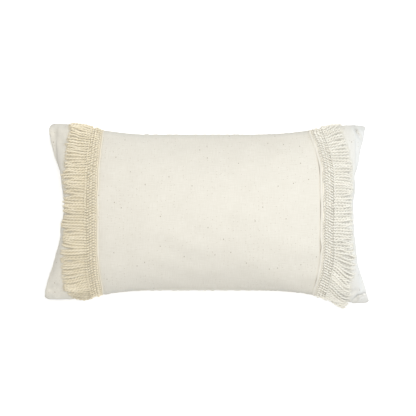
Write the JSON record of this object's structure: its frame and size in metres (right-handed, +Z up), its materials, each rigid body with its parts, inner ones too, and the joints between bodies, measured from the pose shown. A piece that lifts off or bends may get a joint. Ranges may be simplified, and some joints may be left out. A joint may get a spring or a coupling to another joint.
{
  "type": "throw pillow",
  "caption": "Rectangular lumbar throw pillow with a braided, corded fringe trim along its short sides and a zipped cover.",
  "frame": {"origin": "on the ground, below the middle of the pillow lying on its back panel", "axes": "+X along the pillow's length, +Y across it away from the zipper, +Z up through the front panel"},
  "size_m": [0.592, 0.327, 0.1501],
  "materials": {
    "cover_fabric": "matt slubby cotton weave, cream white",
    "trim_cotton": "matt twisted cotton, light beige",
    "sewing_thread": "cream thread",
    "insert_ticking": "white lining fabric",
    "fibre_filling": "white polyester fibre",
    "zipper_tape": "cream woven tape",
    "zipper_coil": "cream nylon coil",
    "zipper_metal": "cream enamel on zinc alloy"
  },
  "bodies": {
    "pillow_body": {"front_panel": "cover_fabric", "back_panel": "cover_fabric", "cover_seam_thread": "sewing_thread", "left_trim_tape": "trim_cotton", "right_trim_tape": "trim_cotton", "left_trim_braid": "trim_cotton", "right_trim_braid": "trim_cotton", "left_fringe_cords": "trim_cotton", "right_fringe_cords": "trim_cotton", "left_trim_stitches": "sewing_thread", "right_trim_stitches": "sewing_thread", "insert_front_panel": "insert_ticking", "insert_back_panel": "insert_ticking", "insert_seam_thread": "sewing_thread", "fibre_filling": "fibre_filling", "zipper_tape_front": "zipper_tape", "zipper_tape_back": "zipper_tape", "zipper_coil_front": "zipper_coil", "zipper_coil_back": "zipper_coil", "zipper_top_stops": "zipper_metal", "zipper_bottom_stop": "zipper_metal", "zipper_stitches_front": "sewing_thread", "zipper_stitches_back": "sewing_thread"},
    "slider_body": {"zipper_slider": "zipper_metal"},
    "pull_body": {"zipper_pull_tab": "zipper_metal"}
  },
  "joints": [
    {"name": "zipper_slide", "type": "slide", "parent": "pillow_body", "child": "slider_body", "axis": [-1, 0, 0], "range_m": [0, 0.236]},
    {"name": "pull_swing", "type": "hinge", "parent": "slider_body", "child": "pull_body", "pos_m": [0.122, -0.14135, 0.07], "axis": [0, 0, 1], "range_deg": [0, 165]}
  ]
}
